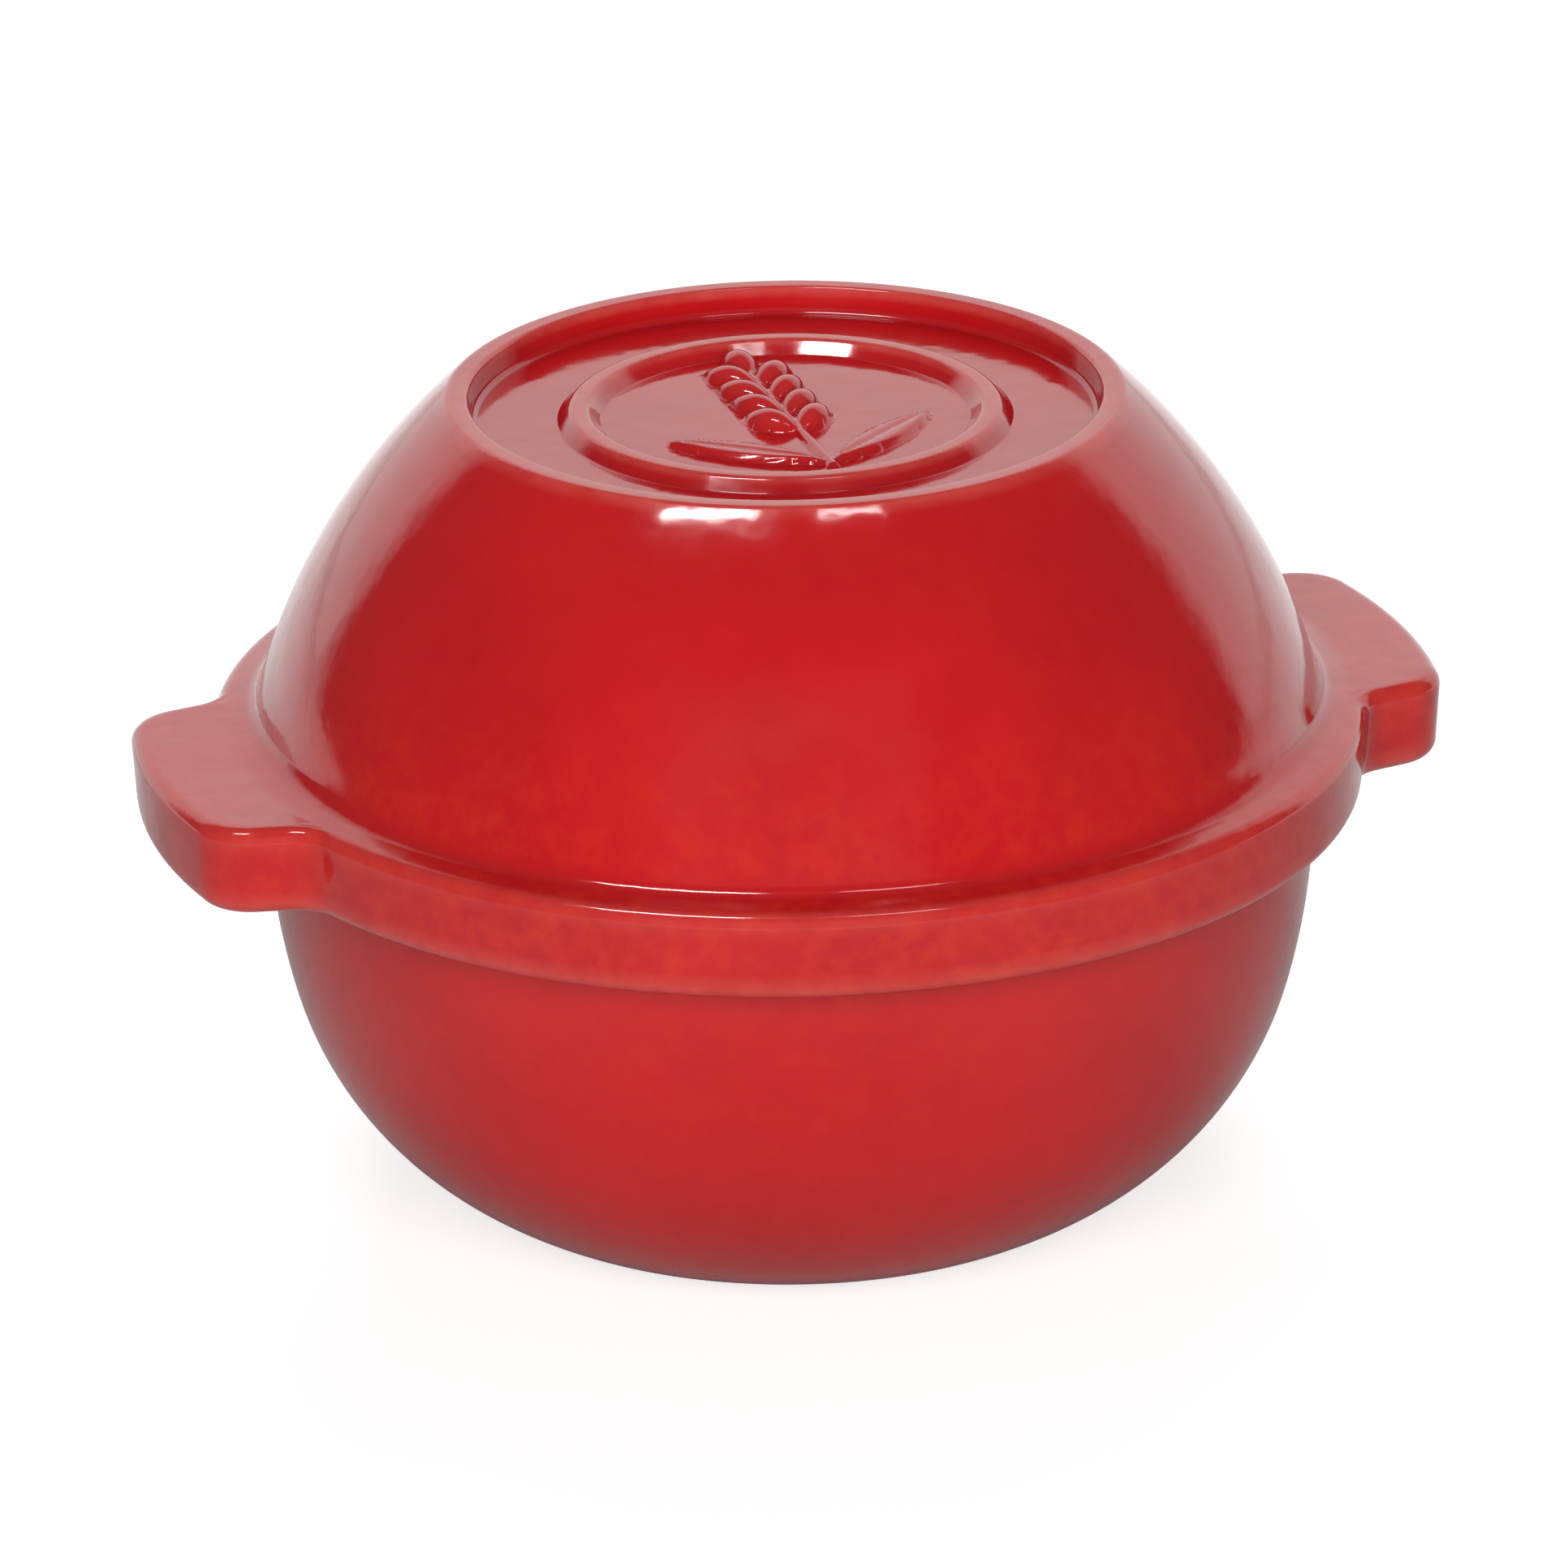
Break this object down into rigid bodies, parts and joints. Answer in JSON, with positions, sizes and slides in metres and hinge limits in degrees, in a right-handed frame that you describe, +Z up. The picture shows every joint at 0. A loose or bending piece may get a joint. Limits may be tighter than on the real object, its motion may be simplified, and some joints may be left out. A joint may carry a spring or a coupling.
{
  "type": "covered baking pot",
  "caption": "Round glazed ceramic pot for baking bread and potatoes: a deep bowl under a domed lid with tab handles and a raised wheat ear on top.",
  "frame": {"origin": "centre of the flat foot of the base bowl, on the surface it stands on", "axes": "+Z up along the axis of the pot, +X towards one handle of the lid, +Y towards the tip of the wheat ear"},
  "size_m": [0.2622, 0.2296, 0.1649],
  "materials": {
    "bowl_glaze": "gloss",
    "lid_glaze": "gloss"
  },
  "bodies": {
    "root": {"base_bowl": "bowl_glaze", "lid": "lid_glaze"}
  },
  "joints": []
}
